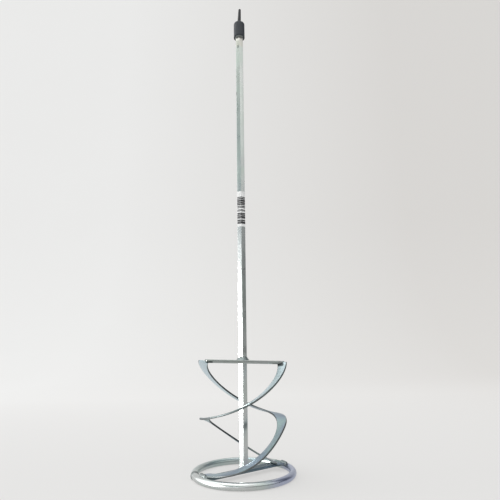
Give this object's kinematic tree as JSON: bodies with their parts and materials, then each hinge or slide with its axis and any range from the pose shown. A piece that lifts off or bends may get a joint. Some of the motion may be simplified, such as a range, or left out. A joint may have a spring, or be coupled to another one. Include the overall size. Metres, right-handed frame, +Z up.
{
  "type": "mortar mixing paddle",
  "caption": "Zinc-plated steel mixing paddle: hexagonal shaft, spiral flat-bar flights between an upper crossbar and a round base ring, threaded top under a plastic cap.",
  "frame": {"origin": "on the shaft's axis, in the plane of the base ring's underside, which stands on the floor", "axes": "+Z up the shaft, from the base ring to the threaded end; +X towards the end of the upper crossbar that flight_a hangs from; +Y to the back, where the label's edges meet"},
  "size_m": [0.12, 0.12, 0.63],
  "materials": {
    "zinc_steel": "bright zinc plating over drawn and rolled bar, satin, a little mottled",
    "weld_steel": "zinc plating over rippled weld beads",
    "cap_plastic": "soft moulded plastic, charcoal black, matte",
    "label_paper": null
  },
  "bodies": {
    "paddle": {"base_ring": "zinc_steel", "ring_seam_weld": "weld_steel", "lower_crossbar": "zinc_steel", "upper_crossbar": "zinc_steel", "hex_shaft": "zinc_steel", "threaded_stud": "zinc_steel", "stud_weld": "weld_steel", "flight_a": "zinc_steel", "flight_b": "zinc_steel", "upper_hub_weld": "weld_steel", "lower_hub_weld": "weld_steel", "bar_end_weld_a": "weld_steel", "bar_end_weld_b": "weld_steel", "flight_a_foot_weld": "weld_steel", "flight_b_foot_weld": "weld_steel", "flight_a_top_weld": "weld_steel", "flight_b_top_weld": "weld_steel", "barcode_label": "label_paper"},
    "cap": {"thread_cap": "cap_plastic"}
  },
  "joints": [
    {"name": "cap_pull", "type": "slide", "parent": "paddle", "child": "cap", "axis": [0, 0, 1], "range_m": [0, 0.03]}
  ]
}
